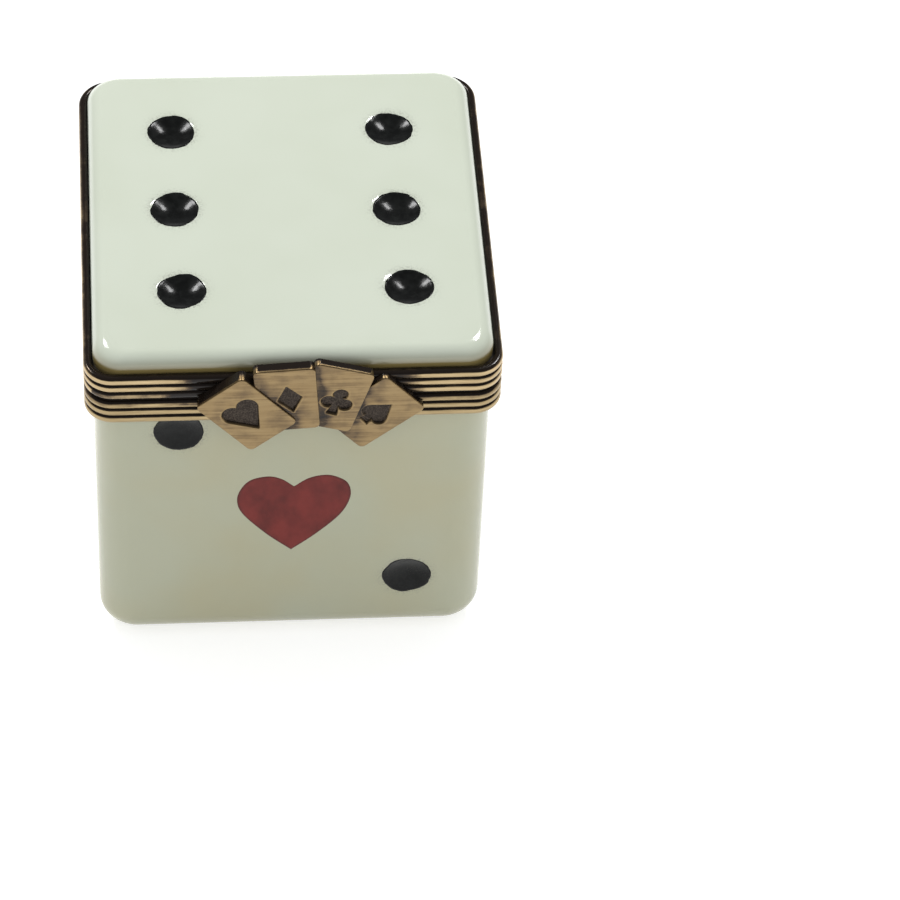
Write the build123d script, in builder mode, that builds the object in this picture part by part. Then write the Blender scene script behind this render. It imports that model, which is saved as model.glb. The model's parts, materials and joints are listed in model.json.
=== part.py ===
from build123d import *
import math
import os

# Porcelain dice box: a hollow glazed die that opens near its top on a brass barrel hinge.
# Two reeded brass mounts, one on the base and one on the lid, meet at the parting plane.
# A cast fan of four playing cards on the lid's mount is the thumb piece and hides the catch.
#
# Frame: millimetres, +Z up, origin at the centre of the underside.
# -Y is the front, where the fan of cards is, and the hinge runs along X at the back.

# ---------------------------------------------------------------- driving dimensions
body_width = 27.7            # porcelain, left to right
body_depth = 29.4            # porcelain, front to back
total_height = 29.1          # underside to the lid's flat top
lid_height = 3.30            # plane where the two mounts meet, up to the lid's flat top
wall = 2.3                   # porcelain side wall
floor_thickness = 2.6        # porcelain floor
roof_thickness = 1.5         # porcelain roof of the lid
corner_radius = 2.5          # upright corners of the porcelain, and its foot
crown_radius = 1.7           # rounding round the lid's top
cavity_corner_radius = 1.7   # upright corners inside
cavity_floor_cove = 1.2      # slope between floor and walls inside

pip_radius = 1.75            # edge of a pip's dimple
pip_depth = 0.42             # depth of a dimple at its centre
pip_offset_x = 7.85          # pips stand this far from the middle of a face
pip_offset_y = 8.15
pip_offset_z = 7.80
pip_middle_share = 0.5465    # height of the middle pip on the upright faces, of the base's height

lid_reed_pitch = 0.65        # one rounded reed of the lid's mount
base_reed_pitch = 0.685      # one rounded reed of the base's mount
base_lip = 0.245             # plain edge of the base's mount, above its reeds
reed_rise = 0.28             # how far a reed stands proud of its grooves
reed_count = 3
reed_flats = 4               # each rounded reed is drawn as this many narrow flats
mount_wall = 0.27            # brass behind the grooves
mount_corner_radius = 2.0    # upright corners of the mounts, at the grooves
rim_plate = 0.45             # flat brass ring on which the two halves meet
rim_reveal = 0.10            # the ring stops this far outside the cavity's wall
cement_side = 0.10           # bedding cement between porcelain and mount wall
cement_bed = 0.15            # bedding cement between porcelain rim and brass ring

hinge_knuckle_radius = 0.75
hinge_end_knuckle = 3.0      # length of each of the two base knuckles
hinge_middle_knuckle = 5.0   # length of the lid's knuckle
hinge_side_gap = 0.10        # play between neighbouring knuckles
hinge_barrel_gap = 0.07      # between the barrel and the reeds' crests
hinge_leaf_gap = 0.20        # a leaf stops this far from the parting plane and mount edge
hinge_fillet_height = 1.40   # where the brazed web meets the leaf, from the parting plane
pin_radius = 0.34
pin_clearance = 0.05         # between pin and the lid's knuckle
pin_head_radius = 0.56
pin_head_thickness = 0.28
pin_head_chamfer = 0.16

clasp_stand_off = 0.07       # back of the fan, clear of the reeds' crests
last_card_thickness = 0.50   # the spade, furthest back, measured from the back of the fan
card_step = 0.15             # each card lies this far in front of the one before it
card_width = 4.30
card_height = 5.85
card_corner_radius = 0.40
card_draft = 4.0             # degrees, the cast edges lean in
suit_depth = 0.22
clasp_seat_width = 7.0       # flat brazing pad on the lid's mount, behind the fan
clasp_seat_inset = 0.10      # pad stops this far from the parting plane and top edge
clasp_centre_x = 1.0

stud_radius = 0.42
stud_chamfer = 0.12
stud_shank_radius = 0.25
stud_drop = 1.15             # stud's centre below the parting plane
stud_shank_length = 0.25     # sunk in the mount's wall
stud_head_gap = 0.08         # between the stud's end and the back of the fan
fork_clearance = 0.05        # between the fork's prongs and the stud
fork_prong = 0.55            # width of one prong
fork_length = 1.35
fork_thickness = 0.28
fork_drop = 0.25             # top of the fork below the parting plane
catch_flat_margin = 0.30     # flat cut in the base's reeds, round the fork

# Fan of cards from the back to the front, in card widths so that it keeps its look at any size:
# suit, then the card's centre across the front and above the parting plane, and its lean in degrees
# from upright, anticlockwise. The same three follow for its recessed mark, and the mark's height.
fan = [
    ("spade", (1.267, -0.291, -48.7), (1.326, -0.291, -52.0, 0.57)),
    ("club", (0.602, 0.102, -16.9), (0.674, 0.023, -19.0, 0.57)),
    ("diamond", (-0.140, 0.116, 4.0), (-0.088, 0.144, 12.0, 0.57)),
    ("heart", (-0.781, -0.165, 41.0), (-0.786, -0.202, 38.5, 0.64)),
]

# ---------------------------------------------------------------- sizes worked out from them
half_depth = body_depth / 2
parting_height = total_height - lid_height
pip_middle_z = pip_middle_share * parting_height
cavity_width = body_width - 2 * wall
cavity_depth = body_depth - 2 * wall
base_rim = parting_height - rim_plate - cement_bed
lid_rim = parting_height + rim_plate + cement_bed
base_mount_height = base_lip + reed_count * base_reed_pitch
lid_mount_height = reed_count * lid_reed_pitch
base_mount_bottom = parting_height - base_mount_height
pip_sphere_radius = (pip_radius**2 + pip_depth**2) / (2 * pip_depth)

mount_bore_width = body_width + 2 * cement_side
mount_bore_depth = body_depth + 2 * cement_side
mount_bore_radius = mount_corner_radius - mount_wall
groove_width = mount_bore_width + 2 * mount_wall
groove_depth = mount_bore_depth + 2 * mount_wall
groove_y = groove_depth / 2
crest_y = groove_y + reed_rise

hinge_length = hinge_middle_knuckle + 2 * (hinge_end_knuckle + hinge_side_gap)
hinge_y = crest_y + hinge_barrel_gap + hinge_knuckle_radius

clasp_back_y = crest_y + clasp_stand_off
fork_slot_width = 2 * (stud_radius + fork_clearance)
fork_width = fork_slot_width + 2 * fork_prong
fork_foot = fork_drop + fork_length
stud_z = parting_height - stud_drop


def rounded_ring(outer_size, outer_radius, inner_size, inner_radius):
    """Flat ring between two rounded rectangles, each size given as (width, depth)."""
    with BuildSketch() as ring:
        RectangleRounded(*outer_size, outer_radius)
        RectangleRounded(*inner_size, inner_radius, mode=Mode.SUBTRACT)
    return ring.sketch


def mount_path():
    """Rounded rectangle at the bottom of the grooves, on the parting plane."""
    with BuildSketch(Plane.XY.offset(parting_height)) as outline:
        RectangleRounded(groove_width, groove_depth, mount_corner_radius)
    return outline.sketch.face().outer_wire()


def reed_section(path, step, lip):
    """Section of a mount's wall at the path's start: flat behind, rounded reeds outside.

    step is the height of one reed and lip that of the plain edge between the path and the reeds.
    Both are positive when the reeds go up from the path.
    """
    start = path @ 0
    along = path % 0
    outward = along.cross(Vector(0, 0, 1))
    if outward.dot(Vector(start.X, start.Y, 0)) < 0:
        outward = -outward
    section_plane = Plane(start, x_dir=outward, z_dir=outward.cross(Vector(0, 0, 1)))
    with BuildSketch(section_plane) as section:
        with BuildLine():
            crests = [
                (
                    reed_rise * math.sin(math.pi * flat / reed_flats),
                    lip + (reed + 0.5 - 0.5 * math.cos(math.pi * flat / reed_flats)) * step,
                )
                for reed in range(reed_count)
                for flat in range(reed_flats)
            ]
            far = lip + reed_count * step
            Polyline(
                *([(0, 0)] if lip else []), *crests, (0, far), (-mount_wall, far), (-mount_wall, 0), close=True
            )
        make_face()
    return section.sketch


def rim_plate_outline():
    """Flat ring that covers the porcelain's rim and carries the mount's wall."""
    return rounded_ring(
        (groove_width - mount_wall, groove_depth - mount_wall),
        mount_corner_radius - mount_wall / 2,
        (cavity_width + 2 * rim_reveal, cavity_depth + 2 * rim_reveal),
        cavity_corner_radius + rim_reveal,
    )


def suit_outline(suit, height):
    """Outline of one suit mark, upright and centred, as tall as height."""
    with BuildSketch() as mark:
        if suit == "heart":
            lobe = 0.27 * height
            with Locations((-lobe * 0.92, 0.22 * height), (lobe * 0.92, 0.22 * height)):
                Circle(lobe)
            Polygon(
                (-lobe * 1.86, 0.13 * height),
                (0, -0.5 * height),
                (lobe * 1.86, 0.13 * height),
                (0, 0.30 * height),
                align=None,
            )
        elif suit == "diamond":
            Polygon(
                (0, 0.5 * height),
                (-0.36 * height, 0),
                (0, -0.5 * height),
                (0.36 * height, 0),
                align=None,
            )
        else:
            stem_top = 0.05 * height
            Polygon(
                (-0.16 * height, -0.5 * height),
                (0.16 * height, -0.5 * height),
                (0, stem_top),
                align=None,
            )
            if suit == "club":
                leaf = 0.20 * height
                with Locations((0, 0.28 * height), (-leaf, -0.06 * height), (leaf, -0.06 * height)):
                    Circle(leaf)
            else:
                lobe = 0.21 * height
                with Locations((-lobe * 0.9, -0.12 * height), (lobe * 0.9, -0.12 * height)):
                    Circle(lobe)
                Polygon(
                    (-lobe * 1.82, -0.04 * height),
                    (0, 0.5 * height),
                    (lobe * 1.82, -0.04 * height),
                    (0, -0.15 * height),
                    align=None,
                )
    return mark.sketch


def standard_pips(count, half_across, half_up):
    """Centres of the pips of one face of a die, in that face's own directions."""
    middle = [(0, 0)]
    diagonal = [(-half_across, half_up), (half_across, -half_up)]
    other_diagonal = [(half_across, half_up), (-half_across, -half_up)]
    side_pair = [(-half_across, 0), (half_across, 0)]
    layouts = {
        2: diagonal,
        4: diagonal + other_diagonal,
        5: middle + diagonal + other_diagonal,
        6: diagonal + other_diagonal + side_pair,
    }
    return layouts[count]


# ---------------------------------------------------------------- dimples
def face_dimples(direction, distance, count, half_across, half_up, middle):
    """Places of the balls that press one face's dimples, each with Z pointing out of the face."""
    across = Vector(0, 0, 1).cross(direction) if abs(direction.Z) < 1 else Vector(1, 0, 0)
    up = direction.cross(across)
    ball_middle = middle + direction * (distance - pip_depth + pip_sphere_radius)
    return [
        Plane(ball_middle + across * u + up * v, z_dir=direction)
        for u, v in standard_pips(count, half_across, half_up)
    ]


# The front is a three whose middle mark is a painted heart, so it has two dimples.
base_middle = Vector(0, 0, pip_middle_z)
base_dimples = (
    face_dimples(Vector(0, -1, 0), half_depth, 2, pip_offset_x, pip_offset_z, base_middle)
    + face_dimples(Vector(0, 1, 0), half_depth, 4, pip_offset_x, pip_offset_z, base_middle)
    + face_dimples(Vector(1, 0, 0), body_width / 2, 5, pip_offset_y, pip_offset_z, base_middle)
    + face_dimples(Vector(-1, 0, 0), body_width / 2, 2, pip_offset_y, pip_offset_z, base_middle)
)
lid_dimples = face_dimples(
    Vector(0, 0, 1), total_height, 6, pip_offset_x, pip_offset_y, Vector(0, 0, 0)
)

# ---------------------------------------------------------------- porcelain base
with BuildPart() as base_cavity:
    with BuildSketch(Plane.XY.offset(floor_thickness)):
        RectangleRounded(cavity_width, cavity_depth, cavity_corner_radius)
    extrude(amount=total_height)
    chamfer(base_cavity.edges().group_by(Axis.Z)[0], length=cavity_floor_cove)

with BuildPart() as base_shell:
    with BuildSketch():
        RectangleRounded(body_width, body_depth, corner_radius)
    extrude(amount=base_rim)
    fillet(base_shell.edges().group_by(Axis.Z)[0], radius=corner_radius)
    add(base_cavity.part, mode=Mode.SUBTRACT)
    with Locations(*base_dimples):
        Sphere(pip_sphere_radius, rotation=(90, 0, 0), mode=Mode.SUBTRACT)

# ---------------------------------------------------------------- porcelain lid
with BuildPart() as lid_shell:
    with BuildSketch(Plane.XY.offset(lid_rim)):
        RectangleRounded(body_width, body_depth, corner_radius)
    extrude(amount=total_height - lid_rim)
    fillet(lid_shell.edges().group_by(Axis.Z)[-1], radius=crown_radius)
    with BuildSketch(Plane.XY.offset(lid_rim)):
        RectangleRounded(cavity_width, cavity_depth, cavity_corner_radius)
    extrude(amount=total_height - roof_thickness - lid_rim, mode=Mode.SUBTRACT)
    with Locations(*lid_dimples):
        Sphere(pip_sphere_radius, rotation=(90, 0, 0), mode=Mode.SUBTRACT)

# ---------------------------------------------------------------- brass mounts
hinge_flat_length = hinge_length + 2 * hinge_side_gap
catch_flat_width = fork_width + 2 * catch_flat_margin

with BuildPart() as base_bezel:
    base_path = mount_path()
    sweep(sections=reed_section(base_path, -base_reed_pitch, -base_lip), path=base_path)
    with BuildSketch(Plane.XY.offset(parting_height - rim_plate)):
        add(rim_plate_outline())
    extrude(amount=rim_plate)
    with BuildSketch(Plane.XY.offset(base_mount_bottom)):
        with Locations((0, groove_y + reed_rise)):
            Rectangle(hinge_flat_length, 2 * reed_rise)
        with Locations((clasp_centre_x, -groove_y - reed_rise)):
            Rectangle(catch_flat_width, 2 * reed_rise)
    extrude(amount=base_mount_height, mode=Mode.SUBTRACT)
    with Locations(Plane((clasp_centre_x, -groove_y, stud_z), z_dir=(0, -1, 0))):
        Hole(stud_shank_radius, depth=stud_shank_length)

with BuildPart() as lid_bezel:
    lid_path = mount_path()
    sweep(sections=reed_section(lid_path, lid_reed_pitch, 0), path=lid_path)
    with BuildSketch(Plane.XY.offset(parting_height)):
        add(rim_plate_outline())
    extrude(amount=rim_plate)
    with BuildSketch(Plane.XY.offset(parting_height)):
        with Locations((0, groove_y + reed_rise)):
            Rectangle(hinge_flat_length, 2 * reed_rise)
    extrude(amount=lid_mount_height, mode=Mode.SUBTRACT)
    with BuildSketch(Plane.XY.offset(parting_height + clasp_seat_inset)):
        with Locations((clasp_centre_x, -(groove_y + clasp_back_y - mount_wall / 2) / 2)):
            Rectangle(clasp_seat_width, clasp_back_y - groove_y + mount_wall / 2)
    extrude(amount=lid_mount_height - 2 * clasp_seat_inset)

# ---------------------------------------------------------------- bedding cement
with BuildPart() as base_cement:
    with BuildSketch(Plane.XY.offset(base_mount_bottom)):
        add(
            rounded_ring(
                (mount_bore_width, mount_bore_depth),
                mount_bore_radius,
                (body_width, body_depth),
                corner_radius,
            )
        )
    extrude(amount=base_rim - base_mount_bottom)
    with BuildSketch(Plane.XY.offset(base_rim)):
        add(
            rounded_ring(
                (mount_bore_width, mount_bore_depth),
                mount_bore_radius,
                (cavity_width + 2 * rim_reveal, cavity_depth + 2 * rim_reveal),
                cavity_corner_radius + rim_reveal,
            )
        )
    extrude(amount=cement_bed)

with BuildPart() as lid_cement:
    with BuildSketch(Plane.XY.offset(parting_height + rim_plate)):
        add(
            rounded_ring(
                (mount_bore_width, mount_bore_depth),
                mount_bore_radius,
                (cavity_width + 2 * rim_reveal, cavity_depth + 2 * rim_reveal),
                cavity_corner_radius + rim_reveal,
            )
        )
    extrude(amount=cement_bed)
    with BuildSketch(Plane.XY.offset(lid_rim)):
        add(
            rounded_ring(
                (mount_bore_width, mount_bore_depth),
                mount_bore_radius,
                (body_width, body_depth),
                corner_radius,
            )
        )
    extrude(amount=total_height - crown_radius - lid_rim)

# ---------------------------------------------------------------- barrel hinge
def leaf_section(side, mount_height):
    """Leaf and brazed web in the YZ plane; side is 1 above the parting plane, -1 below it."""
    near = side * hinge_leaf_gap
    far = side * (mount_height - hinge_leaf_gap)
    web_foot = side * hinge_fillet_height
    web_top = side * hinge_knuckle_radius
    with BuildSketch(Plane.YZ) as leaf:
        with Locations(((groove_y + crest_y) / 2, parting_height + (near + far) / 2)):
            Rectangle(crest_y - groove_y, abs(far - near))
    with BuildSketch(Plane.YZ) as web:
        with BuildLine():
            Polyline(
                (hinge_y, parting_height + web_top),
                (hinge_y, parting_height + near),
                (crest_y, parting_height + near),
                (crest_y, parting_height + web_foot),
            )
            ThreePointArc(
                (crest_y, parting_height + web_foot),
                (
                    crest_y + 0.3 * (hinge_y - crest_y),
                    parting_height + web_top + 0.3 * (web_foot - web_top),
                ),
                (hinge_y, parting_height + web_top),
            )
        make_face()
    return leaf.sketch, web.sketch


barrel_plane = Plane((0, hinge_y, parting_height), x_dir=(0, 1, 0), z_dir=(1, 0, 0))
end_knuckle_x = hinge_middle_knuckle / 2 + hinge_side_gap + hinge_end_knuckle / 2

base_leaf_section, base_web_section = leaf_section(-1, base_mount_height)
with BuildPart() as hinge_base_leaf:
    extrude(base_leaf_section, amount=hinge_length / 2, both=True)
    for knuckle_x in (-end_knuckle_x, end_knuckle_x):
        extrude(
            base_web_section.moved(Location((knuckle_x, 0, 0))),
            amount=hinge_end_knuckle / 2,
            both=True,
        )
        with BuildSketch(barrel_plane.offset(knuckle_x)):
            Circle(hinge_knuckle_radius)
        extrude(amount=hinge_end_knuckle / 2, both=True)
    with BuildSketch(barrel_plane):
        Circle(pin_radius)
    extrude(amount=hinge_length, both=True, mode=Mode.SUBTRACT)

lid_leaf_section, lid_web_section = leaf_section(1, lid_mount_height)
with BuildPart() as hinge_lid_leaf:
    extrude(lid_leaf_section, amount=hinge_length / 2, both=True)
    extrude(lid_web_section, amount=hinge_middle_knuckle / 2, both=True)
    with BuildSketch(barrel_plane):
        Circle(hinge_knuckle_radius)
    extrude(amount=hinge_middle_knuckle / 2, both=True)
    with BuildSketch(barrel_plane):
        Circle(pin_radius + pin_clearance)
    extrude(amount=hinge_length, both=True, mode=Mode.SUBTRACT)

with BuildPart() as hinge_pin:
    with BuildSketch(barrel_plane):
        Circle(pin_radius)
    extrude(amount=hinge_length / 2, both=True)
    for end in (-1, 1):
        with BuildSketch(barrel_plane.offset(end * hinge_length / 2)):
            Circle(pin_head_radius)
        extrude(amount=end * pin_head_thickness)
    head_rims = hinge_pin.edges().group_by(Axis.X)
    chamfer(head_rims[0] + head_rims[-1], length=pin_head_chamfer)

# ---------------------------------------------------------------- fan of cards and catch
clasp_plane = Plane((0, -clasp_back_y, parting_height), x_dir=(1, 0, 0), z_dir=(0, -1, 0))

with BuildPart() as card_clasp:
    for place, (suit, (card_x, card_z, card_lean), mark) in enumerate(fan):
        mark_x, mark_z, mark_lean, mark_height = mark
        thickness = last_card_thickness + place * card_step
        with BuildSketch(clasp_plane):
            with Locations((card_x * card_width, card_z * card_width)):
                RectangleRounded(card_width, card_height, card_corner_radius, rotation=card_lean)
        extrude(amount=thickness, taper=card_draft)
        with BuildSketch(clasp_plane.offset(thickness)):
            with Locations(Location((mark_x * card_width, mark_z * card_width), mark_lean)):
                add(suit_outline(suit, mark_height * card_width))
        extrude(amount=-suit_depth, mode=Mode.SUBTRACT)

with BuildPart() as catch_fork:
    with BuildSketch(clasp_plane):
        with Locations((clasp_centre_x, -fork_drop - fork_length / 2)):
            Rectangle(fork_width, fork_length)
        with Locations((clasp_centre_x, -stud_drop)):
            Circle(fork_slot_width / 2, mode=Mode.SUBTRACT)
        with Locations((clasp_centre_x, -(stud_drop + fork_foot) / 2)):
            Rectangle(fork_slot_width, fork_foot - stud_drop, mode=Mode.SUBTRACT)
    extrude(amount=-fork_thickness)

with BuildPart() as catch_stud:
    stud_plane = Plane((clasp_centre_x, -groove_y, stud_z), x_dir=(1, 0, 0), z_dir=(0, -1, 0))
    with BuildSketch(stud_plane):
        Circle(stud_radius)
    extrude(amount=clasp_back_y - groove_y - stud_head_gap)
    chamfer(catch_stud.edges().group_by(Axis.Y)[0], length=stud_chamfer)
    with BuildSketch(stud_plane):
        Circle(stud_shank_radius)
    extrude(amount=-stud_shank_length)

# ---------------------------------------------------------------- finished pieces
pieces = {
    "base_shell": base_shell,
    "base_cement": base_cement,
    "base_bezel": base_bezel,
    "hinge_base_leaf": hinge_base_leaf,
    "hinge_pin": hinge_pin,
    "catch_stud": catch_stud,
    "lid_shell": lid_shell,
    "lid_cement": lid_cement,
    "lid_bezel": lid_bezel,
    "hinge_lid_leaf": hinge_lid_leaf,
    "card_clasp": card_clasp,
    "catch_fork": catch_fork,
}

os.makedirs("parts", exist_ok=True)
for name, piece in pieces.items():
    piece.part.label = name
    export_step(piece.part, f"parts/{name}.step")
    print(f"{name}: {len(piece.solids())} solid, {piece.part.volume:.1f} mm3")
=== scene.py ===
# %% [markdown]
# # A porcelain dice box with reeded brass mounts
#
# This lesson dresses a small hinged box. The solids come in first, as a fixed frame in metres with
# +Z up and -Y at the front. Every finish and every finer piece is then put on that frame, so
# nothing has to be fitted by eye. The lid turns on a hinge at the back, and each new piece says
# which half it rides on.

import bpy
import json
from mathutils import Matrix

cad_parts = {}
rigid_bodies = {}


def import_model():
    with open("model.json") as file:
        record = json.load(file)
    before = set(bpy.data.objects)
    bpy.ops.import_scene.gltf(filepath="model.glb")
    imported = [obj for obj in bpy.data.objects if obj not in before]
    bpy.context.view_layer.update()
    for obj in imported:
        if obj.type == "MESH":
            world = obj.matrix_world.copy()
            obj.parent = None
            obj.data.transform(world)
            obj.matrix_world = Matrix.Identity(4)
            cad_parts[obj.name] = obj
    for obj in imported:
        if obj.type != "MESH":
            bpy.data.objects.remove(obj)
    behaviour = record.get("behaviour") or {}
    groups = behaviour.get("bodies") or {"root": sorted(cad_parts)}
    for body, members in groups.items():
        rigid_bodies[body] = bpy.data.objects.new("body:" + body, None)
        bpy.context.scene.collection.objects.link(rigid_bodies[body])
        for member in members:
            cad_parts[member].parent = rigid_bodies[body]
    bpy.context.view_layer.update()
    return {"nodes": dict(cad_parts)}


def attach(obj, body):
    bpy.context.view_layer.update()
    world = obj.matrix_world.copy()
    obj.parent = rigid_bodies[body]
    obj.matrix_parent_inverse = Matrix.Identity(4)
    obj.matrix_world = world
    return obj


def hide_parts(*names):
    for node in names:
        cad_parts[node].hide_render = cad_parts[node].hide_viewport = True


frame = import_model()
print("nodes:", ", ".join(sorted(frame["nodes"])))

# %% [markdown]
# Blender's own modules do the rest: bpy makes objects and materials, mathutils turns and adds
# vectors, and numpy moves thousands of points at once. So small a thing is easier to think of in
# millimetres, and one value turns them into the frame's metres.

# %% Tools used all through
import json
import math

import bpy
import numpy as np
from mathutils import Matrix, Vector, noise

MM = 0.001  # all sizes below are written in millimetres

# %% [markdown]
# ## Camera
#
# A small object looks natural through a long lens from a third of a metre away, because nearby
# edges then don't bulge. The camera looks down on the lid by about 47 degrees and a little from
# the left. A Track To constraint could aim it, but can't hold the slight roll. A rotation matrix
# says all of it: its rows are x, y and z, and its columns are the camera's right, its up, and the
# direction back towards the viewer.

# %% Camera
camera_data = bpy.data.cameras.new("product_camera")
camera_data.lens = 173.876
camera_data.sensor_width = 36.0
camera_data.clip_start = 0.01
camera = bpy.data.objects.new("product_camera", camera_data)
bpy.context.scene.collection.objects.link(camera)
camera_axes = Matrix((
    (0.99690116, 0.02552579, -0.07440769),
    (-0.06956465, 0.72767721, -0.68238305),
    (0.03672642, 0.68544461, 0.72719795),
))
camera_place = Vector((-11.7243, -223.2451, 241.5662)) * MM
camera.matrix_world = Matrix.Translation(camera_place) @ camera_axes.to_4x4()
bpy.context.scene.camera = camera
print("camera distance, mm:", round(camera_place.length / MM, 1))

# %% [markdown]
# ## Light
#
# Two soft boxes stand left and right, high and slightly behind the box. They give each black pip
# a pair of highlights and leave the front in soft shade. Point lamps and suns would leave hard
# dots in the glaze, so these are area lamps with the shape of real soft boxes.

# %% Soft boxes
def soft_box(name, place, size, power, along):
    """A strip lamp, its place in millimetres, aimed at the lid, with its long side along a direction."""
    lamp_data = bpy.data.lights.new(name, "AREA")
    lamp_data.shape = "RECTANGLE"
    lamp_data.size, lamp_data.size_y = size[0] * MM, size[1] * MM
    lamp_data.energy = power
    lamp = bpy.data.objects.new(name, lamp_data)
    bpy.context.scene.collection.objects.link(lamp)
    back = (Vector(place) - Vector((0, 0, 20))).normalized()
    long_side = (Vector(along) - back * back.dot(Vector(along))).normalized()
    turn = Matrix((long_side.cross(back), long_side, back)).transposed()
    lamp.matrix_world = Matrix.Translation(Vector(place) * MM) @ turn.to_4x4()
    return lamp


soft_box("left_soft_box", (-203, 257, 432), (60, 130), 0.90, (0.39, 0.92, 0))
soft_box("right_soft_box", (168, 262, 438), (56, 130), 0.77, (-0.39, 0.92, 0))

# %% [markdown]
# An even grey world fills the shadows. What the camera, a mirror or a glass sees of the world is
# a white sweep that rises from the floor. Light Path tells these rays apart, so the background is
# clean without more light on the box. For mirrors only, the sweep soon gives way to a dim
# ceiling, which keeps black glaze black.

# %% World
world = bpy.data.worlds.new("studio")
bpy.context.scene.world = world
world.use_nodes = True
wn, wl = world.node_tree.nodes, world.node_tree.links
wn.clear()


def world_math(operation, a, b):
    """One math node of the world, fed by two sockets."""
    node = wn.new("ShaderNodeMath")
    node.operation = operation
    wl.new(a, node.inputs[0])
    wl.new(b, node.inputs[1])
    return node.outputs[0]


fill_light = wn.new("ShaderNodeBackground")
fill_light.inputs["Color"].default_value = (0.95, 0.97, 1.0, 1)
fill_light.inputs["Strength"].default_value = 0.58

SWEEP_FADES, CEILING_FULL = 0.02, 0.16  # how high a direction points, from 0 level to 1 straight up
path = wn.new("ShaderNodeLightPath")
upward = wn.new("ShaderNodeSeparateXYZ")
wl.new(wn.new("ShaderNodeTexCoord").outputs["Generated"], upward.inputs[0])
ceiling = wn.new("ShaderNodeValToRGB")
ceiling.color_ramp.elements[0].position = SWEEP_FADES
ceiling.color_ramp.elements[0].color = (1, 1, 1, 1)
ceiling.color_ramp.elements[1].position = CEILING_FULL
ceiling.color_ramp.elements[1].color = (0.15, 0.15, 0.16, 1)
wl.new(world_math("SUBTRACT", upward.outputs["Z"], path.outputs["Is Camera Ray"]), ceiling.inputs["Fac"])
white_sweep = wn.new("ShaderNodeBackground")
white_sweep.inputs["Strength"].default_value = 1.0
wl.new(ceiling.outputs["Color"], white_sweep.inputs["Color"])

mirrored = world_math("MAXIMUM", path.outputs["Is Glossy Ray"], path.outputs["Is Transmission Ray"])
world_mix = wn.new("ShaderNodeMixShader")
wl.new(world_math("MAXIMUM", path.outputs["Is Camera Ray"], mirrored), world_mix.inputs[0])
wl.new(fill_light.outputs[0], world_mix.inputs[1])
wl.new(white_sweep.outputs[0], world_mix.inputs[2])
wl.new(world_mix.outputs[0], wn.new("ShaderNodeOutputWorld").inputs["Surface"])
bpy.context.scene.view_settings.view_transform = "Standard"
print("nodes of the world:", len(wn))

# %% [markdown]
# ## Materials
#
# A material here is a node tree round one Principled shader. Noise in object coordinates gives
# a surface its small differences without any picture. The class below starts such a tree. Its
# methods add noise, ramps, sums, mixes and relief to it, so each finish reads as a short recipe.

# %% Helpers for materials
class Finish:
    """A node material under construction: nodes, links, its shader and object coordinates."""

    def __init__(self, name, roughness, metallic=0.0, specular=0.5):
        self.material = bpy.data.materials.new(name)
        self.material.use_nodes = True
        self.nodes = self.material.node_tree.nodes
        self.links = self.material.node_tree.links
        self.shader = self.nodes["Principled BSDF"]
        self.shader.inputs["Roughness"].default_value = roughness
        self.shader.inputs["Metallic"].default_value = metallic
        self.shader.inputs["Specular IOR Level"].default_value = specular
        self.place = self.nodes.new("ShaderNodeTexCoord").outputs["Object"]

    def noise(self, size, detail=3.0, rough=0.55, stretch=(1, 1, 1)):
        """Noise whose lumps are about size millimetres; stretch makes them longer on an axis."""
        mapping = self.nodes.new("ShaderNodeMapping")
        mapping.inputs["Scale"].default_value = [1 / (size * MM * s) for s in stretch]
        self.links.new(self.place, mapping.inputs["Vector"])
        tex = self.nodes.new("ShaderNodeTexNoise")
        tex.inputs["Scale"].default_value = 1.0
        tex.inputs["Detail"].default_value = detail
        tex.inputs["Roughness"].default_value = rough
        self.links.new(mapping.outputs["Vector"], tex.inputs["Vector"])
        return tex.outputs["Fac"]

    def ramp(self, source, *stops):
        """A colour ramp: each stop is (position, (r, g, b)) or (position, grey)."""
        node = self.nodes.new("ShaderNodeValToRGB")
        elements = node.color_ramp.elements
        while len(elements) < len(stops):
            elements.new(0.5)
        for element, (position, colour) in zip(elements, stops):
            element.position = position
            rgb = colour if isinstance(colour, tuple) else (colour,) * 3
            element.color = (*rgb, 1)
        self.links.new(source, node.inputs["Fac"])
        return node.outputs["Color"]

    def math(self, operation, a, b):
        """One math node; a and b are sockets or numbers."""
        node = self.nodes.new("ShaderNodeMath")
        node.operation = operation
        for slot, value in enumerate((a, b)):
            if isinstance(value, (int, float)):
                node.inputs[slot].default_value = value
            else:
                self.links.new(value, node.inputs[slot])
        return node.outputs[0]

    def blend(self, factor, a, b):
        """Mixes two colours, sockets or (r, g, b), by a factor socket."""
        node = self.nodes.new("ShaderNodeMix")
        node.data_type = "RGBA"
        self.links.new(factor, node.inputs["Factor"])
        for name, value in (("A", a), ("B", b)):
            socket = [s for s in node.inputs if s.name == name and s.type == "RGBA"][0]
            if isinstance(value, tuple):
                socket.default_value = (*value, 1)
            else:
                self.links.new(value, socket)
        return [s for s in node.outputs if s.type == "RGBA"][0]

    def painted(self, name):
        """A value that the mesh itself carries at each of its points."""
        node = self.nodes.new("ShaderNodeAttribute")
        node.attribute_name = name
        return node.outputs["Fac"]

    def bump(self, height, depth):
        """Small relief, depth in millimetres."""
        node = self.nodes.new("ShaderNodeBump")
        node.inputs["Strength"].default_value = 1.0
        node.inputs["Distance"].default_value = depth * MM
        self.links.new(height, node.inputs["Height"])
        self.links.new(node.outputs["Normal"], self.shader.inputs["Normal"])

    def colour(self, socket):
        self.links.new(socket, self.shader.inputs["Base Color"])

    def roughness(self, socket):
        self.links.new(socket, self.shader.inputs["Roughness"])

    def metallic(self, socket):
        self.links.new(socket, self.shader.inputs["Metallic"])


print("helpers:", [n for n in dir(Finish) if not n.startswith("_")])

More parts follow.
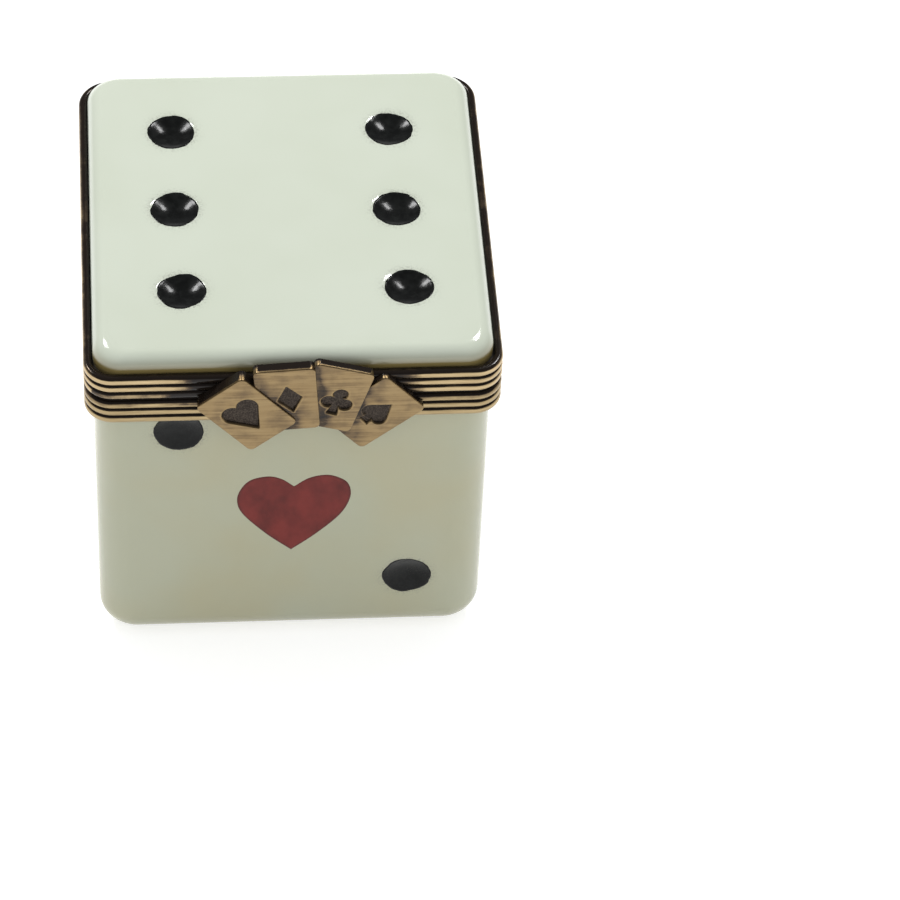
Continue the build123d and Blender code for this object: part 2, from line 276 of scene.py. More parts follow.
# %% [markdown]
# ### Porcelain glaze
#
# The real glaze is a pale grey-green over white clay. It is glassy but never perfectly even, and
# one flat colour with a high gloss would pass for plastic. So the colour here drifts over a
# centimetre, and the surface has the faint ripple that the kiln leaves. The body was fired a
# little warmer than the lid. Round a pip the black has bled a little, as fine specks. Low on the
# lid's front, where it meets the brass, the glaze is darker and browner: partly stained by years of
# polish, partly painted shade in the crease by the mount. The mesh says how much of each there is,
# through values called "bleed" and "stain".

# %% Porcelain glaze
# The second colour is partly a stain and partly painted shade, low on the lid's front by the brass.
BLED_BLACK, BRASS_STAIN_AND_SHADE = (0.16, 0.14, 0.13), (0.33, 0.25, 0.09)


def porcelain(name, light, deep):
    """Glaze that drifts between two colours, with specks of bled black and, low by the brass, a brown mark
    that is partly painted shade.
    """
    glaze = Finish(name, roughness=0.12, specular=0.5)
    drift = glaze.ramp(glaze.noise(9, detail=2), (0.35, deep), (0.65, light))
    specks = glaze.ramp(glaze.noise(0.12, detail=1), (0.48, 0.15), (0.66, 1.0))
    # Stain and painted shade, low by the brass, where the mesh's value says.
    stained = glaze.blend(glaze.painted("stain"), drift, BRASS_STAIN_AND_SHADE)
    bled = glaze.math("MULTIPLY", glaze.painted("bleed"), specks)
    glaze.colour(glaze.blend(bled, stained, BLED_BLACK))
    glaze.bump(glaze.noise(2.2, detail=2), 0.012)
    return glaze.material


lid_glaze = porcelain("lid_porcelain", (0.70, 0.745, 0.62), (0.675, 0.72, 0.59))
body_glaze = porcelain("body_porcelain", (0.630, 0.637, 0.450), (0.638, 0.610, 0.395))
print("glazes:", lid_glaze.name, body_glaze.name)

# %% [markdown]
# ### Black pips and painted heart
#
# The pips are black glaze pooled in their dimples, and the heart is red enamel brushed on the
# front. Both are fired to a gloss. They could be masks in the porcelain's own material, but as
# pieces they keep a crisp edge and a gloss of their own. The enamel is thinner where the brush
# lifted, so its colour runs from dark to lighter red, and it gathered in a dark line at its edge.

# %% Pip glaze and heart enamel
pip = Finish("pip_black", roughness=0.15, specular=0.16)
pip.colour(pip.ramp(pip.noise(0.5), (0.4, (0.006, 0.0065, 0.006)), (0.75, (0.014, 0.015, 0.014))))
pip.bump(pip.noise(0.35, detail=1), 0.006)
pip_black = pip.material

enamel = Finish("heart_enamel", roughness=0.30, specular=0.22)
brushed = enamel.noise(1.5, detail=4, stretch=(1, 1, 1.6))
red = enamel.ramp(brushed, (0.32, (0.155, 0.020, 0.016)), (0.66, (0.275, 0.036, 0.029)))
enamel.colour(enamel.blend(enamel.painted("edge"), red, (0.085, 0.017, 0.014)))
heart_enamel = enamel.material
print("decoration:", pip_black.name, heart_enamel.name)

# %% [markdown]
# ### Antique brass
#
# Old mounts are bright where hands and cloths rub them and brown-black where they don't. Blender
# can find crests by itself, with Pointiness, but what it finds changes with the density of a mesh.
# Here each brass mesh carries a value called "worn" instead: 1 on a crest or an edge, 0
# deep in a groove. It is also lowered where shadow is painted in, beside and under the card fan and
# between its cards. The material turns it into colour, shine and metal, with streaks that break it up.

# %% Antique brass
# Colours of patina, which also show the painted shadow beside the card fan and between its cards.
BLACK_PATINA_AND_SHADOW, BROWN_PATINA_AND_SHADOW = (0.016, 0.011, 0.008), (0.125, 0.088, 0.054)


def antique_brass(name, bright, dull, streak, roughness):
    """Brass whose patina and painted shadow follow a value stored on the mesh; returns the unfinished
    recipe.
    """
    brass = Finish(name, roughness=roughness, metallic=1.0, specular=0.25)
    streaks = brass.noise(0.16, detail=3, rough=0.6, stretch=streak)
    cloudy = brass.noise(1.6, detail=4)
    grain = brass.math("MULTIPLY", brass.math("SUBTRACT", streaks, 0.5), 0.5)
    cloud = brass.math("MULTIPLY", brass.math("SUBTRACT", cloudy, 0.5), 0.9)
    # The mesh's stored value brings patina in the grooves and painted shadow by the card fan.
    shine_and_shadow = brass.math("ADD", brass.painted("worn"), brass.math("ADD", grain, cloud))
    metal = brass.ramp(streaks, (0.25, dull), (0.75, bright))
    dark_tone = brass.ramp(shine_and_shadow, (0.14, BLACK_PATINA_AND_SHADOW), (0.44, BROWN_PATINA_AND_SHADOW))
    mask = brass.ramp(shine_and_shadow, (0.36, 0.0), (0.72, 1.0))
    brass.colour(brass.blend(mask, dark_tone, metal))
    brass.roughness(brass.ramp(shine_and_shadow, (0.12, 0.15), (0.5, roughness)))
    brass.metallic(brass.ramp(shine_and_shadow, (0.1, 0.05), (0.5, 1.0)))
    brass.bump(brass.math("MULTIPLY", streaks, mask), 0.006)
    return brass


ALONG_THE_REEDS, ACROSS_THE_CARDS = (14, 14, 1), (22, 22, 1)  # streaks are this much longer on x, y, z
lid_mount_brass = antique_brass(
    "lid_mount_brass", (0.57, 0.435, 0.248), (0.355, 0.262, 0.138), ALONG_THE_REEDS, 0.28).material
base_mount_brass = antique_brass(
    "base_mount_brass", (0.465, 0.355, 0.195), (0.275, 0.20, 0.10), ALONG_THE_REEDS, 0.30).material
print("brass of the mounts:", lid_mount_brass.name, base_mount_brass.name)

# %% [markdown]
# The card fan is the same brass, brushed from side to side. Its sunk suits were punched with a
# matting tool, which leaves a fine dark stipple. A second value on the mesh, "sunk", tells the
# material where that is.

# %% Brass of the card fan
clasp = antique_brass(
    "clasp_brass", (0.330, 0.238, 0.122), (0.235, 0.160, 0.078), ACROSS_THE_CARDS, 0.38)
matting = clasp.noise(0.10, detail=2)
stipple = clasp.ramp(matting, (0.40, (0.024, 0.019, 0.016)), (0.68, (0.075, 0.060, 0.048)))
brushed_colour = clasp.shader.inputs["Base Color"].links[0].from_socket
clasp.colour(clasp.blend(clasp.painted("sunk"), brushed_colour, stipple))
clasp_brass = clasp.material
print("brass of the fan:", clasp_brass.name)

# %% [markdown]
# The hinge and the catch are small, and a cloth reaches all of them, so their brass is evenly
# rubbed. The cement that beds a mount on its porcelain is dark, matt and gritty. Neither needs a
# value from its mesh: noise alone gives them their colour, shine and relief.

# %% Hinge brass and cement
hinge = Finish("hinge_brass", roughness=0.34, metallic=1.0)
rubbed = hinge.noise(0.7, detail=4)
hinge.colour(hinge.ramp(rubbed, (0.30, (0.25, 0.18, 0.095)), (0.66, (0.38, 0.285, 0.155))))
hinge.roughness(hinge.ramp(rubbed, (0.3, 0.40), (0.7, 0.30)))
hinge.bump(rubbed, 0.004)
hinge_brass = hinge.material

cement = Finish("bedding_cement", roughness=0.85)
gritty = cement.noise(0.3, detail=4)
cement.colour(cement.ramp(gritty, (0.3, (0.012, 0.009, 0.007)), (0.7, (0.05, 0.04, 0.03))))
bedding_cement = cement.material
print("small parts:", hinge_brass.name, bedding_cement.name)

# %% [markdown]
# ## Shapes from stacked rings
#
# The porcelain and the mounts all follow one rounded rectangle. A bevelled cube has that outline
# too, but it has no rows of points to press a dimple into or to file flat. So each of these pieces
# is a stack of rings, one above or inside the other. Each ring has the same number of points,
# taken in the same order.

# %% Rings
BODY_WIDTH, BODY_DEPTH = 27.7, 29.4
SIDE_STEPS, CORNER_STEPS = 92, 12


def ring(inset, back_radius, z, front=1.0):
    """Points of a rounded rectangle that lies inset from the porcelain's outline, at height z.

    front is the radius of the two front corners, as a share of that of the back ones.
    """
    half_x, half_y = BODY_WIDTH / 2 - inset, BODY_DEPTH / 2 - inset
    radii = (back_radius, back_radius, back_radius * front, back_radius * front)
    arcs = []
    for quarter, (sx, sy) in enumerate(((1, 1), (-1, 1), (-1, -1), (1, -1))):
        radius = radii[quarter]
        turns = (quarter + np.arange(CORNER_STEPS + 1) / CORNER_STEPS) * math.pi / 2
        arcs.append(np.stack([sx * (half_x - radius) + radius * np.cos(turns),
                              sy * (half_y - radius) + radius * np.sin(turns)], axis=1))
    shares = np.arange(1, SIDE_STEPS)[:, None] / SIDE_STEPS
    loop = []
    for arc, next_arc in zip(arcs, arcs[1:] + arcs[:1]):
        loop += [arc, arc[-1] + (next_arc[0] - arc[-1]) * shares]
    flat = np.concatenate(loop)
    return np.column_stack([flat, np.full(len(flat), z)])


print("points in one ring:", len(ring(0, 2.5, 0)))

# %% [markdown]
# A skin of quads joins each ring to the next. Matching points have the same number in each, so
# no search is needed, and a closed skin simply joins the last ring to the first. Another helper
# turns points and faces into a piece, with smooth shading, its finish, and the half it rides on.

# %% Skins and pieces
def add_mesh(name, points, faces, material, body):
    """A new piece from points in millimetres, riding on a body."""
    mesh = bpy.data.meshes.new(name)
    mesh.from_pydata([tuple(p) for p in np.asarray(points) * MM], [], faces)
    mesh.update()
    mesh.polygons.foreach_set("use_smooth", [True] * len(mesh.polygons))
    mesh.materials.append(material)
    piece = bpy.data.objects.new(name, mesh)
    bpy.context.scene.collection.objects.link(piece)
    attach(piece, body)
    return piece


def skin(rings, closed=False, caps=False):
    """(points, quads) over a list of rings. closed joins the last ring to the first."""
    count = len(rings[0])
    points = np.concatenate(rings)
    rows = len(rings) if closed else len(rings) - 1
    faces = []
    for row in range(rows):
        low, high = row * count, (row + 1) % len(rings) * count
        for i in range(count):
            j = (i + 1) % count
            faces.append((low + i, low + j, high + j, high + i))
    if caps:
        faces.append(tuple(range(count - 1, -1, -1)))
        top = (len(rings) - 1) * count
        faces.append(tuple(range(top, top + count)))
    return points, faces


print("quads between two rings:", len(skin([ring(0, 2.5, 0), ring(0, 2.5, 1)])[1]))

# %% [markdown]
# ## Dimples
#
# A pip sits in a shallow hollow, part of a sphere, whose lip the glaze has softened. Cutting it
# with a sphere and a boolean would leave a hard lip and long thin faces. Here the depth below the
# face is a function of the distance from the middle: far inside it follows the sphere, far
# outside it is nothing, and it turns smoothly at the lip. Porcelain and black glaze both use it.

# %% Depth of a dimple
PIP_RADIUS, PIP_DEPTH, LIP = 1.75, 0.42, 0.035


def dimple_depth(distance):
    """Depth of the hollow, in millimetres, at some distance from its middle."""
    inside = PIP_DEPTH * (1 - (distance / PIP_RADIUS) ** 2)
    return LIP * np.logaddexp(0, inside / LIP)


print("depth in the middle, at the lip and outside:",
      [round(float(dimple_depth(r)), 3) for r in (0, PIP_RADIUS, 2.0)])

# %% [markdown]
# On a die, opposite faces add up to seven. The lid is the six. The front is the three, with a
# heart in place of its middle pip, so the back is the four, and the sides are the five and the
# two. The six and the front were marked out by hand, so there each pip has a place of its own.

# %% Places of the pips
PIP_X, PIP_Y, PIP_Z, PIP_MIDDLE = 7.85, 8.15, 7.80, 14.10
LAYOUTS = {
    2: [(-1, 1), (1, -1)],
    4: [(-1, 1), (1, 1), (-1, -1), (1, -1)],
    5: [(-1, 1), (1, 1), (0, 0), (-1, -1), (1, -1)],
}


def pips_on(centre, across, up, count, step_a, step_u):
    """Places of a face's pips: each is (centre, across, up, outward normal)."""
    normal = across.cross(up)
    return [(centre + across * a * step_a + up * u * step_u, across, up, normal)
            for a, u in LAYOUTS[count]]


X, Y, Z = Vector((1, 0, 0)), Vector((0, 1, 0)), Vector((0, 0, 1))
TOP = 29.1
lid_pips = [(Vector((x, y, TOP)), X, Y, Z) for x, y in
            ((-7.85, 8.19), (7.83, 8.10), (-7.84, 0.11), (7.86, -0.27), (-7.57, -8.09), (8.22, -8.16))]
middle = Z * PIP_MIDDLE
front = -Y * BODY_DEPTH / 2
body_pips = ([(front + X * x + Z * z, X, Z, -Y) for x, z in ((-7.97, 21.83), (8.34, 6.20))]
             + pips_on(middle + Y * BODY_DEPTH / 2, -X, Z, 4, PIP_X, PIP_Z)
             + pips_on(middle + X * BODY_WIDTH / 2, Y, Z, 5, PIP_Y, PIP_Z)
             + pips_on(middle - X * BODY_WIDTH / 2, -Y, Z, 2, PIP_Y, PIP_Z))
print("pips on the lid:", len(lid_pips), "and on the body:", len(body_pips))

# %% [markdown]
# A dimple is pressed by moving the points of a face inwards by that depth. The same step knows how
# far each point is from the lip, so it also works out where black glaze has bled. Such a value is
# then stored on the mesh, as an attribute that the material reads.

# %% Pressing dimples
def press_dimples(points, places, reach):
    """Sinks the points within reach of a face into its dimples; returns how much black bleeds there."""
    bleed = np.zeros(len(points))
    for centre, _, _, normal in places:
        away = points - np.array(centre)
        along = away @ np.array(normal)
        flat = np.linalg.norm(away - np.outer(along, normal), axis=1)
        near = (np.abs(along) < reach) & (flat < PIP_RADIUS * 1.6)
        points[near] -= np.outer(dimple_depth(flat[near]), normal)
        bleed[near] = 0.5 * np.exp(-np.abs(flat[near] - PIP_RADIUS) / 0.22)
    return bleed


def paint_points(piece, name, values):
    """Stores one value at each of a mesh's points, for its material to read."""
    paint = piece.data.attributes.new(name, "FLOAT", "POINT")
    paint.data.foreach_set("value", values)


tried = np.array([lid_pips[0][0]])
press_dimples(tried, lid_pips[:1], 0.1)
print("middle of the first pip, mm:", tried.round(2).tolist())

# %% [markdown]
# ## Porcelain body
#
# The body is a slip-cast cup: a soft foot, straight walls, a ground rim and a smooth inside. A
# Solidify modifier would give it one even wall, but the real one is thicker at the floor and in
# the corners. So rings run from the middle of the underside up the outside, over the rim and down
# to the middle of the floor. They lie close together on the walls, to make the dimples round.

# %% Porcelain body
RIM, FLOOR = 25.20, 2.6
WALL, FOOT, COVE = 2.3, 2.5, 1.4  # wall, rounding under it, and rounding between it and the floor
CORNER, INNER_CORNER, FLAT_CORNER = 2.5, 1.7, 1.2  # of rings outside, inside and on a flat face
MIDDLE, MIDDLE_CORNER = 13.2, 0.4  # the smallest ring, round the middle of a flat face
ROW = 0.22  # between rings that carry dimples

body_rings = [ring(MIDDLE, MIDDLE_CORNER, 0)] + [ring(inset, FLAT_CORNER, 0) for inset in (10, 7, 4.5, 3.2)]
for step in range(13):
    angle = step / 12 * math.pi / 2
    inset = FOOT * (1 - math.sin(angle))
    body_rings.append(ring(inset, max(CORNER - 0.6 * inset, 0.8), FOOT * (1 - math.cos(angle))))
body_rings += [ring(0, CORNER, z) for z in np.arange(FOOT + ROW, RIM - 0.15, ROW)]
for edge, drop in ((0, 0.15), (0.05, 0.04), (0.15, 0)):
    body_rings.append(ring(edge, CORNER - edge, RIM - drop))
for edge, drop in ((0.15, 0), (0.04, 0.05), (0, 0.2)):
    body_rings.append(ring(WALL - edge, INNER_CORNER + edge, RIM - drop))
body_rings += [ring(WALL, INNER_CORNER, z) for z in (18, 12, 7, 4.6, FLOOR + COVE)]
for step in range(1, 9):
    angle = step / 8 * math.pi / 2
    inwards = 1 - math.cos(angle)
    z = FLOOR + COVE * (1 - math.sin(angle))
    body_rings.append(ring(WALL + COVE * inwards, INNER_CORNER - 0.3 * inwards, z))
body_rings += [ring(inset, FLAT_CORNER, FLOOR) for inset in (6, 9)] + [ring(MIDDLE, MIDDLE_CORNER, FLOOR)]
body_points, body_faces = skin(body_rings, caps=True)
body_bleed = press_dimples(body_points, body_pips, 0.3)
body = add_mesh("porcelain_body", body_points, body_faces, body_glaze, "base")
paint_points(body, "bleed", body_bleed)
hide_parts("base_shell")
print("porcelain body:", len(body_faces), "faces")

# %% [markdown]
# ## Porcelain lid
#
# The lid is made the same way. Its rings start at the middle of the roof inside, go down to the
# ground rim, and come up outside and over the crown to the middle of the top. The top carries six
# dimples, so the rings on the flat are as close as those on the body's walls. The stain and the
# painted shade are strongest low on the crown at the front, next to the brass.

# %% Porcelain lid
LID_RIM, ROOF = 26.40, TOP - 1.5
CROWN, LID_CORNER, FRONT_CORNER = 1.05, 2.2, 0.91  # rounding of the top, back corners, share at the front

lid_rings = [ring(13.3, MIDDLE_CORNER, ROOF)] + [ring(inset, FLAT_CORNER, ROOF) for inset in (9, 5, 3.4)]
for inwards, corner, drop in ((0.35, 1.4, 0.1), (0.1, 1.6, 0.35), (0, INNER_CORNER, 0.8)):
    lid_rings.append(ring(WALL + inwards, corner, ROOF - drop))
for edge, lift in ((0, 0.2), (0.15, 0)):
    lid_rings.append(ring(WALL - edge, INNER_CORNER + edge, LID_RIM + lift))
for edge, lift in ((0.15, 0), (0.04, 0.05), (0, 0.2)):
    lid_rings.append(ring(edge, LID_CORNER - edge, LID_RIM + lift))
lid_rings += [ring(0, LID_CORNER, z, front=FRONT_CORNER) for z in (26.9, TOP - CROWN)]
for step in range(1, 15):
    angle = step / 14 * math.pi / 2
    inset, rise = CROWN * (1 - math.cos(angle)), CROWN * math.sin(angle)
    lid_rings.append(ring(inset, LID_CORNER - 0.3 * inset, TOP - CROWN + rise, front=FRONT_CORNER))
for inset in np.arange(CROWN + 0.25, 13.6, ROW):
    lid_rings.append(ring(inset, max(2.0 - 0.15 * inset, 0.2), TOP))
lid_points, lid_faces = skin(lid_rings, caps=True)
lid_bleed = press_dimples(lid_points, lid_pips, 0.1)
lid = add_mesh("porcelain_lid", lid_points, lid_faces, lid_glaze, "lid")
paint_points(lid, "bleed", lid_bleed)
# Painted shade with some stain: darker low on the crown, only at the front, in the crease by the brass.
near_brass = np.clip((TOP - 0.14 * CROWN - lid_points[:, 2]) / (0.86 * CROWN), 0, 1)
at_front = np.clip((-lid_points[:, 1] - 12.0) / 1.5, 0.0, 1)
paint_points(lid, "stain", near_brass ** 1.7 * at_front)
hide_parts("lid_shell")
print("porcelain lid:", len(lid_faces), "faces")

# %% [markdown]
# ## Pips of black glaze
#
# Each pip is a thin skin of glaze lying in its dimple. A painter set it by hand, so its edge
# wavers a little, and no two are alike. The last ring of points dips under the porcelain, which
# hides the skin's edge.

# %% Pips of black glaze
PIP_ROWS, AROUND = 16, 72
PIP_GLAZE, PIP_TUCK = 0.02, 0.05  # thickness of the skin, and how deep its last ring dips


def pip_mesh(places, size):
    """Points and faces of glaze skins in the given dimples."""
    points, faces = [], []
    for number, (centre, across, up, normal) in enumerate(places):
        first = len(points)
        points.append(centre - normal * (dimple_depth(0) - PIP_GLAZE))
        for row in range(1, PIP_ROWS + 2):
            share = min(row / PIP_ROWS, 1)
            for step in range(AROUND):
                angle = step / AROUND * 2 * math.pi
                turn = Vector((math.cos(angle), math.sin(angle), number * 7.3))
                wave = 0.08 * noise.noise(turn * 1.3) + 0.03 * noise.noise(turn * 4.5)
                reach = size * (1 + wave) * share
                lift = PIP_GLAZE * (1 - share ** 6)
                if row > PIP_ROWS:
                    reach, lift = reach * 1.005, -PIP_TUCK
                sunk = float(dimple_depth(reach)) - lift
                outwards = across * math.cos(angle) + up * math.sin(angle)
                points.append(centre + outwards * reach - normal * sunk)
        for step in range(AROUND):
            after = (step + 1) % AROUND
            faces.append((first, first + 1 + step, first + 1 + after))
            for row in range(PIP_ROWS):
                low = first + 1 + row * AROUND
                high = low + AROUND
                faces.append((low + step, high + step, high + after, low + after))
    return [tuple(p) for p in points], faces


LID_PIP, BODY_PIP = 1.71, 1.77  # radius of the painted glaze
for name, places, size, rides in (("lid_pips", lid_pips, LID_PIP, "lid"),
                                  ("body_pips", body_pips, BODY_PIP, "base")):
    points, faces = pip_mesh(places, size)
    add_mesh(name, points, faces, pip_black, rides)
    print(name, "faces:", len(faces))

# %% [markdown]
# ## Painted heart
#
# The heart is a film of enamel on the front, painted freehand: its left and right halves differ.
# A closed curve through a few listed points gives the outline. A filled curve object would
# stay flat, so rings towards the middle give the film a slight crown, with its edge just under
# the glaze.

# %% A smooth closed curve
def smooth_loop(corners, steps):
    """A closed curve through the given points, as steps points between each two.

    A point with a third value is a sharp corner, which the curve meets and leaves straight.
    """
    out = []
    count = len(corners)
    for i in range(count):
        before, here, there, beyond = (corners[(i + k) % count] for k in (-1, 0, 1, 2))
        p0, p1, p2, p3 = (np.array(p[:2], float) for p in (before, here, there, beyond))
        leave = (p2 - p1) if len(here) > 2 else (p2 - p0) / 2
        arrive = (p2 - p1) if len(there) > 2 else (p3 - p1) / 2
        for step in range(steps):
            t = step / steps
            out.append((2 * t**3 - 3 * t**2 + 1) * p1 + (t**3 - 2 * t**2 + t) * leave
                       + (-2 * t**3 + 3 * t**2) * p2 + (t**3 - t**2) * arrive)
    return np.array(out)


print("points on a test loop:", len(smooth_loop([(0, 0, 1), (1, 0), (1, 1)], 4)))

# %% Painted heart
HEART_MIDDLE, HEART_SIZE, HEART_ROWS = np.array((0.08, 13.55)), 1.045, 13
ENAMEL, TUCK = 0.012, 0.03  # thickness of the film, and how far its edge is tucked under the glaze
heart_points = [(-0.07, 9.41, 1), (1.7, 11.05), (3.35, 13.0), (4.02, 14.75), (3.85, 16.1), (3.1, 16.8),
                (2.2, 17.04), (1.1, 16.75), (0.08, 15.95, 1), (-0.75, 16.7), (-1.7, 17.02),
                (-2.9, 16.7), (-3.6, 15.8), (-3.87, 14.6), (-3.45, 13.2), (-1.8, 11.1)]
outline = HEART_MIDDLE + (smooth_loop(heart_points, 10) - HEART_MIDDLE) * HEART_SIZE
heart_rows = []
for row in range(HEART_ROWS):
    share = 1 - (row / (HEART_ROWS - 1)) ** 1.4
    face_y = -BODY_DEPTH / 2 - ENAMEL * (1 - share ** 8) + (TUCK if row == 0 else -0.004)
    rim = HEART_MIDDLE + (outline - HEART_MIDDLE) * max(share, 0.01)
    heart_rows.append(np.array([(x, face_y, z) for x, z in rim]))
points, faces = skin(heart_rows, caps=True)
heart = add_mesh("painted_heart", points, faces, heart_enamel, "base")
paint_points(heart, "edge", np.repeat([1.0, 0.7] + [0.0] * (HEART_ROWS - 2), len(outline)))
print("painted heart:", len(faces), "faces")

# %% [markdown]
# ## Reeded mounts
#
# Each mount is a band of brass rolled into three half-round reeds, soldered to a flat rim plate.
# A curve object could sweep the section round the box, but it couldn't be filed flat behind the
# hinge. So the section is drawn once, as points that say how far out and how high, and the same
# rings carry it round. Beside each point stands how worn the brass is there, and on the base's
# first reed how much shadow is painted in below the parting.

# %% Section of a mount
GROOVE, CREST, BORE = 0.37, 0.65, 0.10  # how far out of the porcelain these lie
PLATE_INSET, PLATE = 2.2, 0.45  # how far in the rim plate reaches, and its thickness
PARTING = 25.80
REEDS, REED_STEPS = 3, 20


def reed_wear_and_shadow(from_top, beside_lip):
    """How much a reed is rubbed at a share of its height from its top: dark in the grooves beside it, and
    beside the parting partly painted shadow.
    """
    wear_and_shadow = min(max((from_top - 0.13) / 0.16, 0), 1)
    # Beside the parting the upper half of the base's first reed is darker: partly patina in the hollow,
    # partly painted shadow under the lid's lowest reed.
    if beside_lip:
        wear_and_shadow = 0.60 * wear_and_shadow + 0.40 * min(max((from_top - 0.50) / 0.25, 0), 1)
    return wear_and_shadow * min((1 - from_top) / 0.06, 1)


def mount_section(step, lip):
    """(outward, height, rubbing with painted shadow) round a mount's section; step is one reed, negative
    for downward.
    """
    way = math.copysign(1, step)
    section = [(-PLATE_INSET, 0, 0.4), (-PLATE_INSET + 0.06, 0, 0.8), (-0.1, 0, 0.8),
               (GROOVE - 0.04, 0, 0.2), (GROOVE, 0.04 * way, 0.05)]
    for reed in range(REEDS):
        for k in range(1 if reed else 0, REED_STEPS + 1):
            angle = k / REED_STEPS * math.pi
            share = (1 - math.cos(angle)) / 2
            out = GROOVE + (CREST - GROOVE) * math.sin(angle) ** 0.8
            wear_and_shadow = reed_wear_and_shadow(share if step < 0 else 1 - share, lip != 0 and reed == 0)
            section.append((out, lip + (reed + share) * step, wear_and_shadow))
    far = lip + step * REEDS
    return section + [
        (GROOVE - 0.04, far, 0.1), (BORE + 0.02, far, 0.05), (BORE, far - 0.05 * way, 0.0),
        (BORE, (PLATE + 0.1) * way, 0.0), (BORE - 0.05, PLATE * way, 0.3),
        (-PLATE_INSET + 0.03, PLATE * way, 0.5), (-PLATE_INSET, (PLATE - 0.03) * way, 0.5),
    ]


def corner_for(out):
    """Corner radius of the ring that lies this far outside the porcelain."""
    return 1.6 if out < 0 else 2.2 + out - GROOVE


BASE_STEP, BASE_LIP, LID_STEP = -0.685, -0.245, 0.68  # a reed's height, and where the base's first starts
print("points in a mount's section:", len(mount_section(BASE_STEP, BASE_LIP)))

# %% [markdown]
# The hinge leaves and the catch need flat brass behind them, so the reeds are filed away there.
# Points of the rings that fall in such a stretch are moved back to the bottom of the grooves. On
# the lid's front the brazing pad of the card fan is the other way about: points come forward.
# Beside and under the fan the brass is darker, partly patina where no cloth reaches and partly
# painted shadow of the fan, and the flanks keep a little brown.

# %% Flats and patina of the mounts
HINGE_HALF, CLASP_X, CATCH_HALF, PAD_HALF, CLASP_BACK = 5.7, 1.0, 1.3, 3.5, 15.42
FLAT = BODY_DEPTH / 2 + GROOVE


def file_flats(loop, height, pad):
    """Moves a ring's points to the flats behind the hinge and behind the catch or the fan."""
    x, y = loop[:, 0], loop[:, 1]
    back = (np.abs(x) < HINGE_HALF) & (y > 0)
    loop[back, 1] = np.minimum(y[back], FLAT)
    reach, level = (PAD_HALF, CLASP_BACK) if pad else (CATCH_HALF, FLAT)
    front = (np.abs(x - CLASP_X) < reach) & (y < 0) & (abs(height) > 0.05)
    loop[front, 1] = -level


def worn_along(loop, out, wear_and_shadow, pad, lowest):
    """Rubbing and painted shadow round a ring, from the section's own value; lowest is true on the lid's
    lowest reed.
    """
    x, y = loop[:, 0], loop[:, 1]
    # Darker beside and under the card fan at the front, more on the lid's lowest reed left of the fan:
    # partly patina, partly painted shadow of the fan.
    patina_and_shadow = np.clip((9.3 - np.abs(x - 0.3)) / 2.2, 0, 1) * (0.85 if pad else 0.15)
    if lowest:
        patina_and_shadow += 0.6 * np.clip((1 - x) / 5, 0, 1)
    patina_and_shadow[(y > -BODY_DEPTH / 2) | (out < GROOVE)] = 0
    flank = (np.abs(x) > BODY_WIDTH / 2) * 0.40 * min(max((out - GROOVE - 0.04) / 0.12, 0), 1)
    return np.maximum(wear_and_shadow - patina_and_shadow, flank)


print("flats lie at y, mm:", round(FLAT, 2), "and", -CLASP_BACK)

# %% [markdown]
# With that, a mount is its section's rings skinned into a closed tube. The base's section runs
# downward and the lid's upward, which turns the faces inside out on one of them, so they are
# reversed there: a face's points run anticlockwise when it is seen from outside.

# %% Mounts
def mount(name, step, lip, node, finish, pad):
    """A mount that stands in for one solid; pad is true on the one that carries the fan."""
    rings, worn = [], []
    for out, height, wear_and_shadow in mount_section(step, lip):
        loop = ring(-out, corner_for(out), PARTING + height, front=0.8 if out > 0 else 1.0)
        if out > GROOVE - 0.01:
            file_flats(loop, height, pad)
        rings.append(loop)
        worn.append(worn_along(loop, out, wear_and_shadow, pad, lowest=pad and height < step))
    points, faces = skin(rings, closed=True)
    if step < 0:
        faces = [tuple(reversed(f)) for f in faces]
    piece = add_mesh(name, points, faces, finish, "lid" if step > 0 else "base")
    paint_points(piece, "worn", np.concatenate(worn))
    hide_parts(node)
    return piece


base_mount = mount("base_mount", BASE_STEP, BASE_LIP, "base_bezel", base_mount_brass, pad=False)
lid_mount = mount("lid_mount", LID_STEP, 0.0, "lid_bezel", lid_mount_brass, pad=True)
print("mount faces:", len(base_mount.data.polygons), len(lid_mount.data.polygons))

# %% [markdown]
# ## Fan of cards
#
# The thumb piece is one casting: four playing cards fanned from the spade at the back to the
# heart in front, each with its suit sunk in it. A bump map could draw the suits, but real depth
# catches light from every side. So every card is a fine grid of points pushed to its height: full
# in the middle, rounded at the edges, and down in the suit. A suit is made of discs and polygons,
# and its outline is how far they reach in each direction from its middle.

# %% Suits as outlines
def ray_reach(ray, shape):
    """How far a ray from the origin reaches in a shape: ("disc", x, y, r) or ("poly", points)."""
    best = 0.0
    if shape[0] == "disc":
        middle = np.array(shape[1:3])
        along = middle @ ray
        room = shape[3] ** 2 - (middle @ middle - along ** 2)
        return max(best, along + math.sqrt(room)) if room > 0 else best
    corners = [np.array(p) for p in shape[1]]
    for a, b in zip(corners, corners[1:] + corners[:1]):
        edge = b - a
        cross = ray[0] * edge[1] - ray[1] * edge[0]
        if abs(cross) > 1e-9:
            distance = (a[0] * edge[1] - a[1] * edge[0]) / cross
            share = (a[0] * ray[1] - a[1] * ray[0]) / cross
            if distance > 0 and -1e-9 <= share <= 1 + 1e-9:
                best = max(best, distance)
    return best


